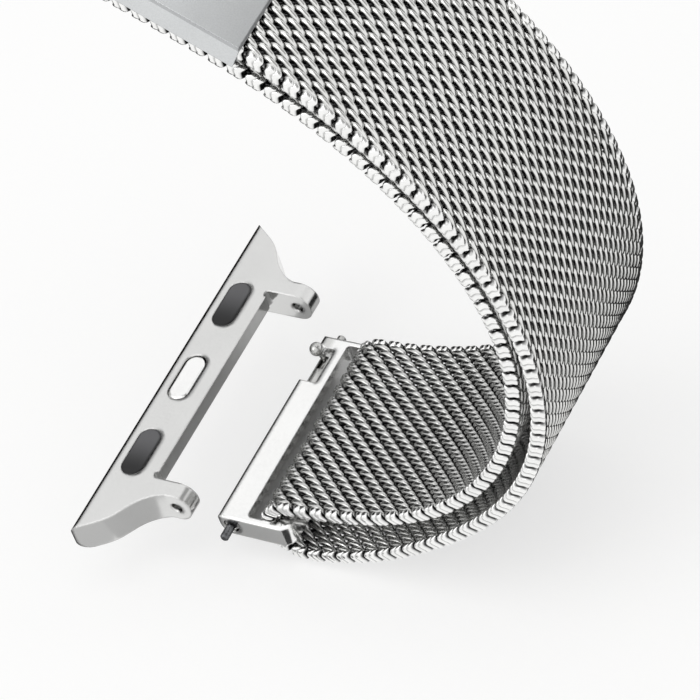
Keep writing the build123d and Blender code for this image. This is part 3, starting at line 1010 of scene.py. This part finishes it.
@dataclass
class EndBar:
    """A buffed end bar with its spring bar. Sizes in mm."""

    end: str
    body: str
    spring_length: float = 8.0
    spring_radius: float = 0.45
    spring_wire_radius: float = 0.1
    spring_turns: float = 19.0

    def build(self, wardrobe: Wardrobe) -> None:
        """Dress the bar, the tube, the pin, the tip and its lever, and wind the spring.

        Args:
            wardrobe: what holds the materials.
        """
        dress_nodes(
            wardrobe,
            {
                f"end_bar_{self.end}": BUFFED_STEEL,
                f"spring_bar_tube_{self.end}": TURNED_STEEL,
                f"spring_bar_pin_{self.end}": HARDENED_STEEL,
                f"spring_bar_tip_{self.end}": TURNED_STEEL,
                f"spring_bar_lever_{self.end}": TURNED_STEEL,
            },
        )
        CoilSpring(
            f"spring_bar_spring_{self.end}",
            self.body,
            (0.0, 1.0, 0.0),
            self.spring_length,
            self.spring_radius,
            self.spring_wire_radius,
            self.spring_turns,
        ).build(wardrobe)


@dataclass
class Adapter:
    """A watch-case adapter with two pads and a sprung latch button. Sizes in mm."""

    end: str
    up: tuple[float, float, float]
    spring_radius: float = 0.55
    spring_wire_radius: float = 0.1
    spring_turns: float = 4.5

    def build(self, wardrobe: Wardrobe) -> None:
        """Dress the adapter's parts and wind its latch spring.

        Args:
            wardrobe: what holds the materials.
        """
        dress_nodes(
            wardrobe,
            {
                f"adapter_body_{self.end}": LAPPED_STEEL,
                f"adapter_pad_near_{self.end}": PAD_RUBBER,
                f"adapter_pad_far_{self.end}": PAD_RUBBER,
                f"adapter_button_{self.end}": BUFFED_BUTTON,
                f"adapter_retainer_{self.end}": SPRING_STEEL,
            },
        )
        node = f"adapter_spring_{self.end}"
        low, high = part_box(node)
        # the sleeve's length along its axis, from the box of a tilted cylinder
        up = Vector(self.up).normalized()
        spread = high - low
        width = 2 * self.spring_radius * MM
        length = (spread.z - width * math.sqrt(1 - up.z**2)) / abs(up.z) / MM
        CoilSpring(
            node,
            f"adapter_{self.end}",
            self.up,
            length,
            self.spring_radius,
            self.spring_wire_radius,
            self.spring_turns,
        ).build(wardrobe)


@dataclass
class Clasp:
    """The sliding magnetic clasp on the end of the outer layer."""

    magnets: int = 2

    def build(self, wardrobe: Wardrobe) -> None:
        """Dress the cover, its back plate and the magnets.

        Args:
            wardrobe: what holds the materials.
        """
        nodes: dict[str, Finish] = {"clasp_cover": BLASTED_STEEL, "clasp_plate": LAPPED_STEEL}
        for number in range(1, self.magnets + 1):
            nodes[f"clasp_magnet_{number}"] = NICKEL_PLATE
        dress_nodes(wardrobe, nodes)


@dataclass(frozen=True)
class Softbox:
    """A soft lamp. Place and target in metres, size in metres, power in watts."""

    name: str
    place: tuple[float, float, float]
    width: float
    height: float
    power: float

    def build(self, target: Vector) -> None:
        """Hang the lamp so that it faces a target."""
        lamp = bpy.data.lights.new(self.name, "AREA")
        lamp.shape = "RECTANGLE"
        lamp.size, lamp.size_y, lamp.energy = self.width, self.height, self.power
        holder = bpy.data.objects.new(self.name, lamp)
        holder.location = target + Vector(self.place)
        holder.rotation_euler = (-Vector(self.place)).to_track_quat("-Z", "Y").to_euler()
        bpy.context.scene.collection.objects.link(holder)


@dataclass(frozen=True)
class Card:
    """A dull card that only mirrors see, as put beside polished metal to give it an edge.

    Attributes:
        name: the card's name.
        corners: four corners in mm: X, Y and height above the floor.
        tone: its colour.
    """

    name: str
    corners: tuple[tuple[float, float, float], ...]
    tone: str

    @classmethod
    def flat(cls, name: str, x: tuple[float, float], y: tuple[float, float], tone: str) -> Card:
        """Return a card that lies on the floor.

        Args:
            name: the card's name.
            x: its two ends in X, in mm.
            y: its two ends in Y, in mm.
            tone: its colour.
        """
        lift = 0.5
        outline = ((x[0], y[0]), (x[1], y[0]), (x[1], y[1]), (x[0], y[1]))
        return cls(name, tuple((a, b, lift) for a, b in outline), tone)

    def build(self, level: float) -> None:
        """Put the card in place and hide it from everything but mirror reflections.

        Args:
            level: height of the floor in metres.
        """
        points = np.array(self.corners) * MM + np.array([0.0, 0.0, level])
        card = surface_piece(self.name, points, np.array([[0, 1, 2, 3]]))
        material, tree = empty_material(self.name + "_card")
        felt = add_node(tree, "ShaderNodeBsdfDiffuse", {"Color": linear(self.tone)})
        add_node(tree, "ShaderNodeOutputMaterial", {"Surface": felt.outputs[0]})
        card.data.materials.append(material)
        card.visible_camera = card.visible_diffuse = card.visible_shadow = False
        card.visible_transmission = False
        card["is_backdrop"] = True


@dataclass
class Studio:
    """Floor, backdrop light, lamps and camera. Places are in metres, and cards in mm.

    Attributes:
        camera_place: where the camera stands, fitted to the photograph.
        camera_right: direction to the picture's right.
        camera_up: direction to its top.
        camera_back: direction from the object to the camera.
        lens: focal length in mm.
        sensor: width of the sensor in mm.
        floor_size: length of the floor's sides.
        floor_gap: how far the floor lies below the object.
        world_level: how bright the air is for rays that light the object.
        backdrop_share: share of glow that the floor shows where it is seen.
        floor_tone: colour of the floor.
        floor_glow: strength of the glow.
        lamps: the soft lamps.
        cards: what polished faces mirror beside the air.
    """

    camera_place: tuple[float, float, float] = (0.184009, -0.194111, 0.283375)
    camera_right: tuple[float, float, float] = (0.86686, 0.4341, -0.2452)
    camera_up: tuple[float, float, float] = (-0.18464, 0.73638, 0.65089)
    camera_back: tuple[float, float, float] = (0.46311, -0.51895, 0.71848)
    lens: float = 224.27
    sensor: float = 36.0
    floor_size: float = 4.0
    floor_gap: float = 0.0005
    world_level: float = 0.62
    backdrop_share: float = 0.5
    floor_tone: str = "#f1f1f0"
    floor_glow: float = 1.25
    lamps: tuple[Softbox, ...] = (
        Softbox("key", (-0.35, -0.45, 0.5), 0.5, 0.5, 0.9),
        Softbox("top", (0.1, -0.12, 0.75), 0.5, 0.4, 0.9),
    )
    cards: tuple[Card, ...] = (
        Card.flat("card_under", (6.0, 260.0), (-5.0, 300.0), "#363636"),
        Card.flat("card_between", (-8.0, 6.0), (-10.0, 40.0), "#e6e6e6"),
        Card.flat("card_left", (-110.0, -13.0), (-20.0, 120.0), "#1a1a1a"),
        Card.flat("card_near", (-6.0, 5.6), (-16.0, -11.0), "#bcbcbc"),
        Card.flat("card_corner", (5.7, 9.4), (-15.8, -11.6), "#444444"),
        Card.flat("card_nearer", (-4.0, 5.0), (-34.0, -16.0), "#dcdcdc"),
        Card.flat("card_side", (-26.0, -4.0), (-34.0, -21.0), "#e8e8e8"),
        Card("card_above", ((50.0, -6.0, 132.0), (93.0, -6.0, 106.0),
                            (71.0, 62.0, 71.0), (28.0, 62.0, 97.0)), "#c8c8c8"),
        Card("card_beyond", ((-227.0, -20.0, 0.0), (-107.0, 260.0, 0.0),
                             (-107.0, 260.0, 174.0), (-227.0, -20.0, 174.0)), "#1a1a1a"),
    )

    def seen_directly(self, tree: bpy.types.NodeTree) -> bpy.types.NodeSocket:
        """Return 1 for rays that see the background straight, in a mirror or through glass."""
        path = add_node(tree, "ShaderNodeLightPath")
        seen = path.outputs["Is Camera Ray"]
        for name in ("Is Glossy Ray", "Is Transmission Ray"):
            seen = add_node(
                tree, "ShaderNodeMath", {0: seen, 1: path.outputs[name]}, operation="MAXIMUM"
            ).outputs[0]
        return seen

    def build_world(self) -> None:
        """Light the object evenly, and show white where the background is seen."""
        world = bpy.data.worlds.new("studio_air")
        world.use_nodes = True
        tree = world.node_tree
        tree.nodes.clear()
        strength = ramp(tree, self.seen_directly(tree), wanted=(self.world_level, 1.0))
        air = add_node(
            tree, "ShaderNodeBackground", {"Color": linear("#ffffff"), "Strength": strength}
        )
        add_node(tree, "ShaderNodeOutputWorld", {"Surface": air.outputs[0]})
        bpy.context.scene.world = world

    def build_floor(self, level: float) -> None:
        """Lay a pale floor that keeps the shadow and reads as white where it is seen.

        Args:
            level: height of the floor in metres.
        """
        half = self.floor_size / 2
        corners = [(-half, -half), (half, -half), (half, half), (-half, half)]
        points = np.array([(x, y, level) for x, y in corners])
        floor = surface_piece("floor", points, np.array([[0, 1, 2, 3]]))
        material, tree = empty_material("painted_board")
        paint = add_node(tree, "ShaderNodeBsdfDiffuse", {"Color": linear(self.floor_tone)})
        glow = add_node(tree, "ShaderNodeEmission", {"Strength": self.floor_glow})
        share = multiply(tree, self.seen_directly(tree), self.backdrop_share)
        mixed = add_node(
            tree, "ShaderNodeMixShader", {0: share, 1: paint.outputs[0], 2: glow.outputs[0]}
        )
        add_node(tree, "ShaderNodeOutputMaterial", {"Surface": mixed.outputs[0]})
        floor.data.materials.append(material)
        floor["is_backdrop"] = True

    def build_camera(self) -> None:
        """Set the camera where the photograph was taken from."""
        data = bpy.data.cameras.new("camera")
        data.lens, data.sensor_width, data.sensor_fit = self.lens, self.sensor, "HORIZONTAL"
        data.clip_start, data.clip_end = 0.01, 20.0
        camera = bpy.data.objects.new("camera", data)
        turn = Matrix((self.camera_right, self.camera_up, self.camera_back)).transposed()
        camera.matrix_world = Matrix.Translation(self.camera_place) @ turn.to_4x4()
        bpy.context.scene.collection.objects.link(camera)
        bpy.context.scene.camera = camera

    def build(self, low: Vector, high: Vector) -> None:
        """Build the whole studio round the object's box.

        Args:
            low: lowest corner of the box.
            high: highest corner.
        """
        self.build_world()
        self.build_floor(low.z - self.floor_gap)
        for lamp in self.lamps:
            lamp.build((low + high) / 2)
        for card in self.cards:
            card.build(low.z)
        self.build_camera()
        bpy.context.scene.view_settings.view_transform = "Standard"
        log.info("studio ready")


def box_as_lists() -> list[list[float]]:
    """Return the object's present box as two plain lists."""
    low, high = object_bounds()
    return [[float(v) for v in low], [float(v) for v in high]]


def main() -> None:
    """Build the band, dress every part and light it."""
    logging.basicConfig(level=logging.INFO, format="%(name)s: %(message)s")
    before = box_as_lists()
    wardrobe = Wardrobe()
    WovenStrip().build(wardrobe)
    Clasp().build(wardrobe)
    EndBar("a", "lower_end").build(wardrobe)
    EndBar("b", "upper_end").build(wardrobe)
    Adapter("a", LOWER_ADAPTER_UP).build(wardrobe)
    Adapter("b", UPPER_ADAPTER_UP).build(wardrobe)
    Studio().build(Vector(before[0]), Vector(before[1]))


if __name__ == "__main__":
    main()
